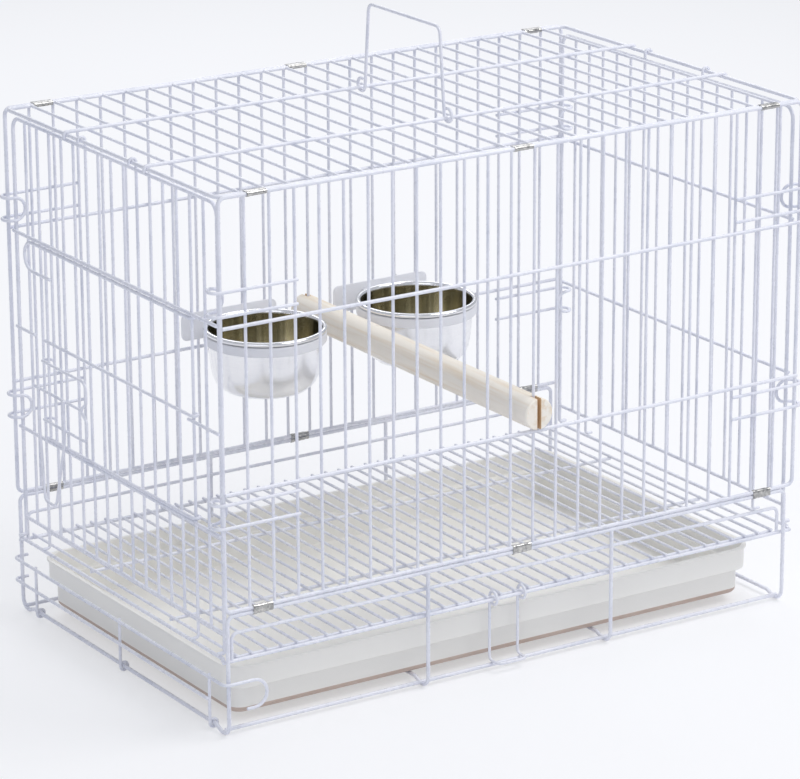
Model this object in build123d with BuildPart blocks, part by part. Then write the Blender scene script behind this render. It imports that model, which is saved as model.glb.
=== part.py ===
from build123d import *
from math import cos, radians, sin
import os

os.makedirs("parts", exist_ok=True)

# A folding travel cage for a small bird, welded from round steel wire.
# Millimetres. +X runs along the cage, -Y is the long front side, +Z is up.
# The origin is on the floor, under the middle of the wire box.

# Size of the wire box, over its wires
length = 508.0
depth = 320.0
height = 400.0

# Wire stock, as radii
frame_r = 1.5
bar_r = 1.15
rail_r = 1.4
hook_r = 1.25
grille_r = 1.1

# Fits between wires
weld = 0.4
gap = 0.35
swing_gap = 0.5

# Levels above the floor
base_rail_z = 91.5
upper_rail_z = 304.0
lower_rail_z = 183.0
ledge_z = 56.7
staple_z = 77.5
side_low_z = 76.5
door_sill_z = 150.0

# Wire counts
front_bays = 25
side_bays = 16
hook_bays = 3
grille_bays = 38

# Corner hooks on the front and back panels
corner_bend = 5.0
hook_span = 17.4
hook_step = 8.6
hook_pocket = 13.4

# Places that follow from the sizes above
edge_x = length / 2 - frame_r
panel_y = depth / 2 - 2 * rail_r - frame_r + weld
bar_pitch = 2 * edge_x / front_bays
panel_low_z = base_rail_z + 2 * frame_r + gap
top_z = height - bar_r - 2 * rail_r + weld
rail_y = panel_y + frame_r + rail_r - weld
hook_y = panel_y + frame_r + hook_r - weld
carry_z = top_z + bar_r + rail_r - weld
top_side_y = panel_y - 2 * frame_r - gap


def rods(plane, places, radius, reach):
    """Straight wires of one length, standing on a plane at the places given."""
    with BuildSketch(plane) as section:
        with Locations(*places):
            Circle(radius)
    extrude(section.sketch, amount=reach)


def sweep_round(path, radius):
    """Round wire along a finished line."""
    with BuildSketch(Plane(origin=path @ 0, z_dir=path % 0)) as section:
        Circle(radius)
    sweep(section.sketch, path=path)


def bent_wire(points, bends, radius):
    """One wire along straight runs, bent at each corner by the radii given."""
    with BuildLine() as path:
        FilletPolyline(*points, radius=bends)
    sweep_round(path.line, radius)


def frame_wire(plane, half_x, low, high, bend):
    """A closed rectangle of frame wire, butt-welded in the middle of its low side."""
    with BuildLine(plane) as path:
        Polyline((0, low), (half_x, low), (half_x, high), (-half_x, high), (-half_x, low), (0, low))
        corners = [v for v in path.vertices() if abs(plane.to_local_coords(v).X) > half_x / 2]
        fillet(corners, bend)
    sweep_round(path.line, frame_r)


def corner_hook(side, z_in, z_out):
    """A wire that runs past the corner post, turns back inside it and returns as a C."""
    run_x = side * (edge_x - hook_bays * bar_pitch - bar_r)
    post_x = side * edge_x
    turn = hook_pocket / 2
    drop = (z_out - z_in) / 2
    with BuildLine() as path:
        Line((run_x, -hook_y, z_in), (post_x, -hook_y, z_in))
        ThreePointArc(
            (post_x, -hook_y, z_in),
            (post_x + side * turn, turn - hook_y, z_in),
            (post_x, hook_pocket - hook_y, z_in),
        )
        ThreePointArc(
            (post_x, hook_pocket - hook_y, z_in),
            (post_x - side * abs(drop), hook_pocket - hook_y, z_in + drop),
            (post_x, hook_pocket - hook_y, z_out),
        )
        ThreePointArc(
            (post_x, hook_pocket - hook_y, z_out),
            (post_x + side * turn, turn - hook_y, z_out),
            (post_x, -hook_y, z_out),
        )
        Line((post_x, -hook_y, z_out), (run_x, -hook_y, z_out))
    sweep_round(path.line, hook_r)


# Front panel: a bent frame, upright bars and long rails, with two hooks at each post
bar_x = [bar_pitch * k - edge_x for k in range(1, front_bays)]
panel_plane = Plane.XZ.offset(panel_y)

with BuildPart() as front_panel:
    frame_wire(panel_plane, edge_x, panel_low_z, top_z, corner_bend)
    rods(Plane.XY.offset(panel_low_z), [(x, -panel_y) for x in bar_x], bar_r, top_z - panel_low_z)
    rods(Plane.YZ.offset(-edge_x), [(-rail_y, upper_rail_z), (-rail_y, lower_rail_z)], rail_r, 2 * edge_x)
    for side in (-1, 1):
        corner_hook(side, upper_rail_z + hook_step, upper_rail_z + hook_step + hook_span)
        corner_hook(side, lower_rail_z - hook_step + hook_r, lower_rail_z - hook_step + hook_r - hook_span)

# Back panel: the same panel turned to face the other way
with BuildPart() as back_panel:
    mirror(front_panel.part, about=Plane.XZ)

# Top panel: a frame with cross bars, and two carry wires whose ends turn down over it
carry_y = 59.0
carry_drop = 2.5
carry_bend = 2.0
carry_end_x = edge_x + frame_r + rail_r - weld

with BuildPart() as top_panel:
    frame_wire(Plane.XY.offset(top_z), edge_x, -top_side_y, top_side_y, corner_bend)
    rods(Plane.XZ.offset(-top_side_y), [(x, top_z) for x in bar_x], bar_r, 2 * top_side_y)
    for y in (-carry_y, carry_y):
        bent_wire(
            [
                (-carry_end_x, y, top_z - carry_drop),
                (-carry_end_x, y, carry_z),
                (carry_end_x, y, carry_z),
                (carry_end_x, y, top_z - carry_drop),
            ],
            carry_bend,
            rail_r,
        )

# Carry handle: one wire with an open ring at each foot, pulled up against the carry wires
bail_r = 1.25
bail_ring = 5.0
bail_wrap = 290.0
bail_lean = 5.2
bail_rise = 66.0
bail_bend = 6.0
lean = radians(bail_lean)
bail_top_z = carry_z + bail_rise
ring_z = carry_z + bail_ring - bail_r - rail_r - gap
foot_y = bail_ring * cos(lean) - carry_y
foot_z = ring_z - bail_ring * sin(lean)
bail_half = foot_y + (bail_top_z - foot_z) * sin(lean) / cos(lean)

with BuildPart() as handle:
    with BuildLine(Plane.YZ) as bail:
        CenterArc((-carry_y, ring_z), bail_ring, -bail_lean - bail_wrap, bail_wrap)
        FilletPolyline(
            (foot_y, foot_z),
            (bail_half, bail_top_z),
            (-bail_half, bail_top_z),
            (-foot_y, foot_z),
            radius=bail_bend,
        )
        CenterArc((carry_y, ring_z), bail_ring, 180 + bail_lean, bail_wrap)
    sweep_round(bail.line, bail_r)

# Base frame: top rails that bend down into the end posts and on under the tray
post_left_inset = 3.0
post_right_inset = 9.0
post_left_x = post_left_inset - length / 2
post_right_x = length / 2 - post_right_inset
mid_post_x = 82.0
foot_bend = 8.0
foot_run = 10.0
foot_slope = 8.0
run_rise = 3.0
step_bend = 2.5
floor_rail_inset = 6.0
floor_rail_z = 3 * frame_r - weld
run_z = frame_r + run_rise
ledge_y = panel_y - frame_r - rail_r + weld
side_rail_z = ledge_z + 2 * rail_r - weld
staple_r = 1.3
staple_inset = 4.5


def runner(x):
    """The points of a floor wire from the front post to the middle of the cage."""
    return [
        (x, -panel_y, frame_r),
        (x, foot_run - panel_y, frame_r),
        (x, foot_run + foot_slope - panel_y, run_z),
        (x, 0, run_z),
    ]


with BuildPart() as base_front:
    left_run = runner(post_left_x)
    right_run = runner(post_right_x)
    bent_wire(
        left_run[::-1] + [(post_left_x, -panel_y, base_rail_z), (post_right_x, -panel_y, base_rail_z)] + right_run,
        [step_bend, step_bend, foot_bend, corner_bend, corner_bend, foot_bend, step_bend, step_bend],
        frame_r,
    )
    for x in (-mid_post_x, mid_post_x):
        bent_wire([(x, -panel_y, base_rail_z)] + runner(x), [foot_bend, step_bend, step_bend], frame_r)
    rods(
        Plane.YZ.offset(post_left_x),
        [(floor_rail_inset - panel_y, floor_rail_z)],
        frame_r,
        post_right_x - post_left_x,
    )
    rods(Plane.YZ.offset(-length / 2), [(-ledge_y, ledge_z)], rail_r, length)
    bent_wire(
        [
            (post_left_x + staple_inset, -ledge_y, ledge_z),
            (post_left_x + staple_inset, -ledge_y, staple_z),
            (post_right_x - staple_inset, -ledge_y, staple_z),
            (post_right_x - staple_inset, -ledge_y, ledge_z),
        ],
        corner_bend,
        staple_r,
    )

with BuildPart() as base_frame:
    add(base_front.part)
    mirror(base_front.part, about=Plane.XZ)
    side_rail_y = ledge_y + rail_r + gap
    rods(
        Plane.XZ.offset(-side_rail_y),
        [(-edge_x, side_rail_z), (edge_x, side_rail_z)],
        rail_r,
        2 * side_rail_y,
    )

# Floor grille: close wires across the cage on four cross wires, resting in the ledge
grille_inset = 9.0
grille_left_x = post_left_x + grille_inset
grille_right_x = post_right_x - grille_inset
cross_r = 1.3
cross_inner_y = 60.0
grille_pitch = (grille_right_x - grille_left_x) / grille_bays
grille_z = ledge_z + rail_r + gap + grille_r
cross_z = grille_z - grille_r - cross_r + weld
cross_outer_y = ledge_y - rail_r - gap - cross_r
grille_x = [grille_left_x + grille_pitch * k for k in range(grille_bays + 1)]

with BuildPart() as floor_grille:
    rods(Plane.XZ.offset(-ledge_y), [(x, grille_z) for x in grille_x], grille_r, 2 * ledge_y)
    rods(
        Plane.YZ.offset(grille_left_x - cross_r),
        [(y, cross_z) for y in (-cross_outer_y, -cross_inner_y, cross_inner_y, cross_outer_y)],
        cross_r,
        grille_right_x - grille_left_x + 2 * cross_r,
    )

# Grille latch: a bent wire that turns on the front ledge and reaches over the floor rail
latch_r = 1.1
latch_eye = 5.0
latch_bay = 17
latch_bays = 2
latch_reach = 3.6
latch_bend = 4.0
eye_open = 60.0
latch_left_x = grille_left_x + grille_pitch * (latch_bay + 0.5)
latch_right_x = latch_left_x + grille_pitch * latch_bays
eye_y = -(ledge_y + cross_outer_y) / 2
eye_z = (ledge_z + cross_z) / 2
latch_foot_z = floor_rail_z + frame_r + latch_r + gap


def eye_point(x, angle):
    """A point on a latch eye, by its angle from the inner side."""
    turn = radians(angle)
    return (x, eye_y + latch_eye * cos(turn), eye_z + latch_eye * sin(turn))


with BuildPart() as grille_latch:
    tip = 360 - eye_open
    with BuildLine() as latch_path:
        ThreePointArc(eye_point(latch_left_x, tip), eye_point(latch_left_x, tip / 2), eye_point(latch_left_x, 0))
        FilletPolyline(
            (latch_left_x, eye_y + latch_eye, eye_z),
            (latch_left_x, eye_y + latch_eye, latch_foot_z),
            (latch_left_x, -panel_y - latch_reach, latch_foot_z),
            (latch_right_x, -panel_y - latch_reach, latch_foot_z),
            (latch_right_x, eye_y + latch_eye, latch_foot_z),
            (latch_right_x, eye_y + latch_eye, eye_z),
            radius=latch_bend,
        )
        ThreePointArc(eye_point(latch_right_x, 0), eye_point(latch_right_x, tip / 2), eye_point(latch_right_x, tip))
    sweep_round(latch_path.line, latch_r)

# Base gate: two rails on three uprights whose eyes turn on the left floor wire
gate_high_z = 41.5
gate_low_z = 24.0
gate_front_inset = 22.1
gate_back_inset = 28.1
gate_front_y = gate_front_inset - panel_y
gate_back_y = panel_y - gate_back_inset
gate_eye = frame_r + gap + bar_r
gate_eye_wrap = 300.0
gate_bend = 5.0
gate_hook_run = 19.0
gate_hook_drop = 21.0
gate_hook_tip = 6.0
gate_back_run = 7.0
gate_bar_x = post_left_x - gate_eye
gate_rail_x = gate_bar_x - bar_r - hook_r + weld
gate_face_y = panel_y + frame_r + gap + swing_gap + hook_r
gate_tip_x = post_left_x + gate_hook_run

with BuildPart() as base_gate:
    for y in (gate_front_y, (gate_front_y + gate_back_y) / 2, gate_back_y):
        with BuildLine(Plane.XZ.offset(-y)) as upright:
            Line((gate_bar_x, gate_high_z + hook_r), (gate_bar_x, run_z))
            CenterArc((post_left_x, run_z), gate_eye, 180, gate_eye_wrap)
        sweep_round(upright.line, bar_r)
    with BuildLine() as upper_rail:
        FilletPolyline(
            (post_left_x + gate_back_run, gate_face_y, gate_high_z),
            (gate_rail_x, gate_face_y, gate_high_z),
            (gate_rail_x, -gate_face_y, gate_high_z),
            (gate_tip_x, -gate_face_y, gate_high_z),
            radius=gate_bend,
        )
        ThreePointArc(
            (gate_tip_x, -gate_face_y, gate_high_z),
            (gate_tip_x + gate_hook_drop / 2, -gate_face_y, gate_high_z - gate_hook_drop / 2),
            (gate_tip_x, -gate_face_y, gate_high_z - gate_hook_drop),
        )
        Line(
            (gate_tip_x, -gate_face_y, gate_high_z - gate_hook_drop),
            (gate_tip_x - gate_hook_tip, -gate_face_y, gate_high_z - gate_hook_drop),
        )
    sweep_round(upper_rail.line, hook_r)
    bent_wire(
        [
            (post_left_x + gate_back_run, gate_face_y, gate_low_z),
            (gate_rail_x, gate_face_y, gate_low_z),
            (gate_rail_x, gate_front_y - bar_r, gate_low_z),
        ],
        gate_bend,
        hook_r,
    )

# Tray: a moulded tub with a step in its wall and a thin flat rim
tray_left_gap = 8.0
tray_right_gap = 17.0
tray_side_gap = 4.6
tray_left_x = post_left_x + tray_left_gap
tray_right_x = post_right_x - tray_right_gap
tray_half_y = panel_y - floor_rail_inset - frame_r - tray_side_gap
tray_top_z = 46.0
tray_step_z = 28.0
tray_step = 6.0
tray_wall = 2.0
tray_lip = 1.5
tray_corner = 18.0
tray_foot_bend = 5.0
tray_low_z = run_z + frame_r + gap
tray_x = (tray_left_x + tray_right_x) / 2
tray_length = tray_right_x - tray_left_x
tray_plane = Plane((tray_x, 0, 0))


def tray_block(low, high, inset, mode):
    """A rounded block of the tray, drawn in from its rim by the inset."""
    with BuildSketch(tray_plane.offset(low)) as outline:
        RectangleRounded(tray_length - 2 * inset, 2 * (tray_half_y - inset), tray_corner - inset)
    extrude(outline.sketch, amount=high - low, mode=mode)


with BuildPart() as tray:
    tray_block(tray_low_z, tray_step_z, tray_lip + tray_step, Mode.ADD)
    fillet(tray.edges().group_by(Axis.Z)[0], tray_foot_bend)
    tray_block(tray_step_z, tray_top_z, tray_lip, Mode.ADD)
    tray_block(tray_top_z - tray_wall, tray_top_z, 0, Mode.ADD)
    tray_block(tray_low_z + tray_wall, tray_top_z, tray_lip + tray_step + tray_wall, Mode.SUBTRACT)
    tray_block(tray_step_z + tray_wall, tray_top_z, tray_lip + tray_wall, Mode.SUBTRACT)

# End panels: frames that hang from the top panel by two curls and hook on the side rails
side_bend = 9.0
side_tip = 3.5
side_tip_bend = 2.2
side_drop = 5.5
curl_bar = 2
curl_wrap = 200.0
curl_r = frame_r + gap + bar_r
side_x = edge_x - curl_r
side_edge_y = top_side_y - 2 * frame_r - gap
side_pitch = 2 * side_edge_y / side_bays
side_top_z = top_z - side_drop
side_cross_x = side_x + bar_r + rail_r - weld
side_hook_z = side_rail_z + rail_r + swing_gap
jamb_y = side_edge_y - 2 * side_pitch
side_bar_y = [side_pitch * k - side_edge_y for k in range(1, side_bays)]
outer_bar_y = [y for y in side_bar_y if abs(y) > jamb_y - side_pitch / 2]
inner_bar_y = [y for y in side_bar_y if abs(y) < jamb_y - side_pitch / 2]


def end_frame(side):
    """The frame, foot rail, hooks and hanging curls that both end panels share."""
    tip_x = side * (edge_x + side_tip)
    x = side * side_x
    frame_tip_z = side_hook_z + frame_r
    bar_tip_z = side_hook_z + bar_r
    bent_wire(
        [
            (tip_x, -side_edge_y, frame_tip_z),
            (x, -side_edge_y, frame_tip_z),
            (x, -side_edge_y, side_top_z),
            (x, side_edge_y, side_top_z),
            (x, side_edge_y, frame_tip_z),
            (tip_x, side_edge_y, frame_tip_z),
        ],
        [side_tip_bend, side_bend, side_bend, side_tip_bend],
        frame_r,
    )
    rods(Plane.XZ.offset(-side_edge_y), [(x, side_low_z)], rail_r, 2 * side_edge_y)
    for y in (-jamb_y, jamb_y):
        bent_wire([(tip_x, y, bar_tip_z), (x, y, bar_tip_z), (x, y, side_low_z)], side_tip_bend, bar_r)
    for y in (-curl_bar * side_pitch, curl_bar * side_pitch):
        start = 180 if side > 0 else 0
        with BuildLine(Plane.XZ.offset(-y)) as curl:
            Line((x, side_top_z), (x, top_z))
            CenterArc((side * edge_x, top_z), curl_r, start, -side * curl_wrap)
        sweep_round(curl.line, bar_r)


def end_rails(side, levels):
    """Level rails welded across the outside of an end panel."""
    places = [(side * side_cross_x, z) for z in levels]
    reach = side_edge_y + frame_r / 2
    rods(Plane.XZ.offset(-reach), places, rail_r, 2 * reach)


def end_bars(side, places, low, high):
    """Upright bars of an end panel between two levels."""
    rods(Plane.XY.offset(low), [(side * side_x, y) for y in places], bar_r, high - low)


# Left end panel, with the doorway between its two long rails
stub_r = 1.25
stub_front_z = 225.5
stub_back_z = 229.3
stub_front_lap = 4.55
stub_back_lap = 8.95
stub_front_y = stub_front_lap - jamb_y
stub_back_y = jamb_y + stub_back_lap
doorway_low_z = door_sill_z + rail_r / 2
doorway_high_z = upper_rail_z - rail_r / 2

with BuildPart() as left_end_panel:
    end_frame(-1)
    end_bars(-1, outer_bar_y, side_low_z, side_top_z)
    end_bars(-1, inner_bar_y, side_low_z, doorway_low_z)
    end_bars(-1, inner_bar_y, doorway_high_z, side_top_z)
    end_rails(-1, [upper_rail_z, door_sill_z])
    rods(
        Plane.XZ.offset(side_edge_y),
        [(-side_cross_x, stub_front_z)],
        stub_r,
        -(side_edge_y + stub_front_y),
    )
    rods(
        Plane.XZ.offset(-side_edge_y),
        [(-side_cross_x, stub_back_z)],
        stub_r,
        side_edge_y - stub_back_y,
    )

# Right end panel: plain, with bars from foot to top
with BuildPart() as right_end_panel:
    end_frame(1)
    end_bars(1, side_bar_y, side_low_z, side_top_z)
    end_rails(1, [upper_rail_z, lower_rail_z])

# Door: three rails curled round the front jamb, and a stop loop past its free edge
door_gap = 0.45
door_mid_z = 229.3
door_edge_gap = 9.35
door_edge_y = jamb_y - door_edge_gap
door_curl_wrap = 220.0
door_lap = 0.6
stop_lap = 8.95
stop_return = 28.0
stop_y = jamb_y + stop_lap
stop_r = 11.0
stop_end_y = stop_y - stop_return
door_curl = bar_r + gap + hook_r
door_rail_x = side_x + door_curl
door_bar_x = door_rail_x - hook_r - bar_r + weld
door_high_z = upper_rail_z - rail_r - door_gap - hook_r
door_low_z = door_sill_z + rail_r + door_gap + hook_r


def door_curl_arc():
    """The curl of a door rail round the jamb, ending where the straight rail starts."""
    CenterArc((-side_x, -jamb_y), door_curl, 180 + door_curl_wrap, -door_curl_wrap)


with BuildPart() as left_door:
    for z in (door_low_z, door_mid_z):
        with BuildLine(Plane.XY.offset(z)) as door_rail:
            door_curl_arc()
            Line((-door_rail_x, -jamb_y), (-door_rail_x, door_edge_y + bar_r))
        sweep_round(door_rail.line, hook_r)
    with BuildLine(Plane.XY.offset(door_high_z)) as door_curl_line:
        door_curl_arc()
    with BuildLine() as stop_rail:
        add(door_curl_line.line)
        Line((-door_rail_x, -jamb_y, door_high_z), (-door_rail_x, stop_y, door_high_z))
        ThreePointArc(
            (-door_rail_x, stop_y, door_high_z),
            (-door_rail_x, stop_y + stop_r, door_high_z - stop_r),
            (-door_rail_x, stop_y, door_high_z - 2 * stop_r),
        )
        Line(
            (-door_rail_x, stop_y, door_high_z - 2 * stop_r),
            (-door_rail_x, stop_end_y, door_high_z - 2 * stop_r),
        )
    sweep_round(stop_rail.line, hook_r)
    rods(
        Plane.XY.offset(door_low_z - door_lap),
        [(-door_bar_x, y) for y in inner_bar_y + [door_edge_y]],
        bar_r,
        door_high_z - door_low_z + 2 * door_lap,
    )

# Door latch: a bent wire that slides up the free edge bar, with a bolt and a finger pull
latch_high_z = 214.0
latch_low_z = 168.0
latch_wide = 65.7
latch_front_y = door_edge_y - latch_wide
notch_depth = 9.0
notch_y = latch_front_y + notch_depth
notch_half = 7.0
bolt_lap = 5.95
bolt_end_y = jamb_y + bolt_lap
pull_past = 5.3
pull_wide = 39.0
pull_low_wide = 17.0
pull_low_inset = 15.0
pull_back_y = door_edge_y + pull_past
pull_front_y = pull_back_y - pull_wide
pull_low_back_y = pull_back_y - pull_low_inset
pull_low_front_y = pull_low_back_y - pull_low_wide
pull_low_z = 108.0
pull_shoulder_z = 160.0
pull_out = 5.0
pull_bend = 6.0
clasp_bend = 2.0
clasp_tip = 5.6
latch_x = door_rail_x + hook_r + gap + latch_r
clasp_reach = bar_r + gap + latch_r
clasp_x = door_bar_x - clasp_reach
clasp_y = door_edge_y + clasp_reach
bolt_z = (latch_high_z + latch_low_z) / 2
pull_x = latch_x + 2 * latch_r - weld

with BuildPart() as door_latch:
    bent_wire(
        [
            (-clasp_x, clasp_y - clasp_tip, latch_high_z),
            (-clasp_x, clasp_y, latch_high_z),
            (-latch_x, clasp_y, latch_high_z),
            (-latch_x, latch_front_y, latch_high_z),
            (-latch_x, latch_front_y, bolt_z + notch_half),
            (-latch_x, notch_y, bolt_z),
            (-latch_x, latch_front_y, bolt_z - notch_half),
            (-latch_x, latch_front_y, latch_low_z),
            (-latch_x, clasp_y, latch_low_z),
            (-clasp_x, clasp_y, latch_low_z),
            (-clasp_x, clasp_y - clasp_tip, latch_low_z),
        ],
        [clasp_bend, clasp_bend, pull_bend, 2.4, 2.4, 2.4, pull_bend, clasp_bend, clasp_bend],
        latch_r,
    )
    rods(Plane.XZ.offset(-bolt_end_y), [(-latch_x, bolt_z)], latch_r, bolt_end_y - notch_y)
    bent_wire(
        [
            (-pull_x, pull_back_y, bolt_z + latch_r),
            (-pull_x, pull_back_y, pull_shoulder_z),
            (-pull_x - pull_out, pull_low_back_y, pull_low_z),
            (-pull_x - pull_out, pull_low_front_y, pull_low_z),
            (-pull_x, pull_front_y, pull_shoulder_z),
            (-pull_x, pull_front_y, bolt_z + latch_r),
        ],
        pull_bend,
        latch_r,
    )

# Feed cups, each in a ring on a plate that is bolted through the back panel
bolt_bay_left = 10
bolt_bay_right = 17
bolt_reach_left = 25.6
bolt_reach_right = 28.0
ring_stand = 9.45
cup_rim_z = 210.0
cup_rim_r = 1.9
cup_top_r = 45.0
cup_foot_r = 35.0
cup_depth = 48.0
cup_wall = 0.8
cup_bend = 9.0
ring_wall = 2.2
ring_height = 7.5
plate_wide = 82.0
plate_tall = 22.0
plate_thick = 1.6
plate_z = 202.0
neck_wide = 30.0
plate_corner = 5.0
bolt_r = 2.0
bolt_head_r = 3.6
bolt_head = 1.8
bolt_hole_r = 2.2
bolt_proud = 3.45
clamp_wide = 44.0
clamp_tall = 18.0
thread_fit = 0.05
nut_r = 4.0
nut_long = 5.0
wing_reach = 15.5
wing_thick = 1.8
wing_clear = 1.5
wing_tilt = 123.0
cup_foot_z = cup_rim_z - cup_depth
rim_mid_r = cup_top_r + cup_rim_r - cup_wall
ring_inner_r = cup_top_r + gap
ring_top_z = cup_rim_z - cup_rim_r - gap
plate_back_y = panel_y - bar_r - gap
plate_front_y = plate_back_y - plate_thick
clamp_front_y = panel_y + bar_r + gap
clamp_back_y = clamp_front_y + plate_thick
nut_front_y = clamp_back_y + gap
bolt_end = nut_front_y + nut_long + bolt_proud
cup_y = plate_front_y - ring_stand - ring_wall - ring_inner_r


def bay_middle(bay):
    """The middle of one bay between the upright bars, counted from the left post."""
    return bar_pitch * (bay + 0.5) - edge_x


def cup_body():
    """A spun steel cup with a rolled rim."""
    with BuildSketch(Plane.XZ) as cup_wall_section:
        with BuildLine():
            FilletPolyline(
                (0, cup_foot_z),
                (cup_foot_r, cup_foot_z),
                (cup_top_r, cup_rim_z),
                radius=cup_bend,
            )
            Line((cup_top_r, cup_rim_z), (cup_top_r - cup_wall, cup_rim_z))
            FilletPolyline(
                (cup_top_r - cup_wall, cup_rim_z),
                (cup_foot_r - cup_wall, cup_foot_z + cup_wall),
                (0, cup_foot_z + cup_wall),
                radius=cup_bend - cup_wall,
            )
            Line((0, cup_foot_z + cup_wall), (0, cup_foot_z))
        make_face()
        with Locations((rim_mid_r, cup_rim_z)):
            Circle(cup_rim_r)
    return cup_wall_section.sketch


cup_section = cup_body()


def make_holder(x, bolt_x):
    """The ring, neck and plate that carry one cup, drilled for the bolt."""
    neck_long = plate_back_y - plate_thick / 2 - cup_y
    with BuildSketch(Plane((x, cup_y, ring_top_z - ring_height))) as ring:
        Circle(ring_inner_r + ring_wall)
        with Locations((0, neck_long / 2)):
            Rectangle(neck_wide, neck_long)
        Circle(ring_inner_r, mode=Mode.SUBTRACT)
    extrude(ring.sketch, amount=ring_height)
    with BuildSketch(Plane.XZ.offset(-plate_back_y)) as plate:
        with Locations((x, plate_z)):
            RectangleRounded(plate_wide, plate_tall, plate_corner)
        with Locations((bolt_x, plate_z)):
            Circle(bolt_hole_r, mode=Mode.SUBTRACT)
    extrude(plate.sketch, amount=plate_thick)


def make_clamp(x):
    """The outer clamp bar behind the back panel."""
    with BuildSketch(Plane.XZ.offset(-clamp_back_y)) as bar:
        with Locations((x, plate_z)):
            RectangleRounded(clamp_wide, clamp_tall, plate_corner)
            Circle(bolt_hole_r, mode=Mode.SUBTRACT)
    extrude(bar.sketch, amount=plate_thick)


def make_bolt(x):
    """A round-headed bolt from the plate out through the clamp bar."""
    with BuildSketch(Plane.XZ.offset(-plate_front_y)) as head:
        with Locations((x, plate_z)):
            Circle(bolt_head_r)
    extrude(head.sketch, amount=bolt_head)
    with BuildSketch(Plane.XZ.offset(-bolt_end)) as shank:
        with Locations((x, plate_z)):
            Circle(bolt_r)
    extrude(shank.sketch, amount=bolt_end - plate_front_y)


def make_nut(x):
    """A wing nut, bored to run on its bolt."""
    with BuildSketch(Plane.XZ.offset(-nut_front_y - nut_long)) as hub:
        with Locations((x, plate_z)):
            Circle(nut_r)
    extrude(hub.sketch, amount=nut_long)
    with BuildSketch(Plane.XZ.offset(-nut_front_y - nut_long)) as wings:
        with Locations(Location((x, plate_z), wing_tilt)):
            SlotOverall(2 * wing_reach, wing_thick)
    extrude(wings.sketch, amount=nut_long - wing_clear)
    with BuildSketch(Plane.XZ.offset(-nut_front_y - nut_long)) as bore:
        with Locations((x, plate_z)):
            Circle(bolt_r + thread_fit)
    extrude(bore.sketch, amount=nut_long, mode=Mode.SUBTRACT)


cups = {"left": (bolt_bay_left, bolt_reach_left), "right": (bolt_bay_right, bolt_reach_right)}
cup_parts = {}
for side_name, (bolt_bay, bolt_reach) in cups.items():
    bolt_x = bay_middle(bolt_bay)
    cup_x = bolt_x - bolt_reach
    with BuildPart() as cup:
        revolve(cup_section, axis=Axis.Z)
    cup_parts["cup_" + side_name] = Pos(cup_x, cup_y, 0) * cup.part
    with BuildPart() as holder:
        make_holder(cup_x, bolt_x)
    cup_parts["cup_holder_" + side_name] = holder.part
    with BuildPart() as clamp:
        make_clamp(bolt_x)
    cup_parts["clamp_bar_" + side_name] = clamp.part
    with BuildPart() as bolt:
        make_bolt(bolt_x)
    cup_parts["clamp_bolt_" + side_name] = bolt.part
    with BuildPart() as nut:
        make_nut(bolt_x)
    cup_parts["wing_nut_" + side_name] = nut.part

# Perch: a dowel slotted at both ends to straddle a bar, resting on the lower rails
perch_r = 12.0
perch_bar = 13
perch_over = 6.5
slot_gap = 0.45
perch_x = bar_pitch * perch_bar - edge_x
perch_z = lower_rail_z + rail_r + gap + perch_r
perch_end_y = panel_y + bar_r + perch_over
perch_slot = perch_end_y - panel_y + bar_r + gap
perch_edge = 1.2

with BuildPart() as perch:
    with BuildSketch(Plane.XZ.offset(-perch_end_y)) as dowel:
        with Locations((perch_x, perch_z)):
            Circle(perch_r)
    extrude(amount=2 * perch_end_y)
    chamfer(perch.edges().filter_by(GeomType.CIRCLE), perch_edge)
    with BuildSketch(Plane.XY.offset(perch_z)) as slots:
        with Locations((perch_x, perch_end_y - perch_slot / 2), (perch_x, perch_slot / 2 - perch_end_y)):
            Rectangle(2 * (bar_r + slot_gap), perch_slot)
    extrude(amount=perch_r, both=True, mode=Mode.SUBTRACT)

# Clips: bent sheet that wraps two neighbouring rails and lets them turn
clip_wall = 0.7
clip_fit = 0.1
clip_long = 16.4
clip_seam = 0.8
clip_tab = 5.0
clip_bay = 1
clip_places = [bay_middle(bay) for bay in (clip_bay, (front_bays - 1) // 2, front_bays - 1 - clip_bay)]
clip_inner_r = frame_r + clip_fit
clip_outer_r = clip_inner_r + clip_wall


def make_clips(mid_y, mid_z, span, tilt, seam_y, seam_z):
    """Three clips on one pair of rails, each a flat tube with a seam."""
    for x in clip_places:
        with BuildSketch(Plane.YZ.offset(x - clip_long / 2)) as section:
            with Locations(Location((mid_y, mid_z), tilt)):
                SlotCenterToCenter(span, 2 * clip_outer_r)
                SlotCenterToCenter(span, 2 * clip_inner_r, mode=Mode.SUBTRACT)
            with Locations((mid_y + seam_y, mid_z + seam_z)):
                Rectangle(clip_seam + 2 * abs(seam_y), clip_seam + 2 * abs(seam_z), mode=Mode.SUBTRACT)
        extrude(section.sketch, amount=clip_long)


base_span = panel_low_z - base_rail_z
top_span = panel_y - top_side_y
base_mid_z = (panel_low_z + base_rail_z) / 2
top_mid_y = (panel_y + top_side_y) / 2
seam_reach = clip_outer_r

with BuildPart() as clips_base_front:
    make_clips(-panel_y, base_mid_z, base_span, 90, seam_reach / 2, 0)
with BuildPart() as clips_base_back:
    make_clips(panel_y, base_mid_z, base_span, 90, -seam_reach / 2, 0)
with BuildPart() as clips_top_front:
    make_clips(-top_mid_y, top_z, top_span, 0, 0, -seam_reach / 2)
with BuildPart() as clips_top_back:
    make_clips(top_mid_y, top_z, top_span, 0, 0, -seam_reach / 2)

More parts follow.
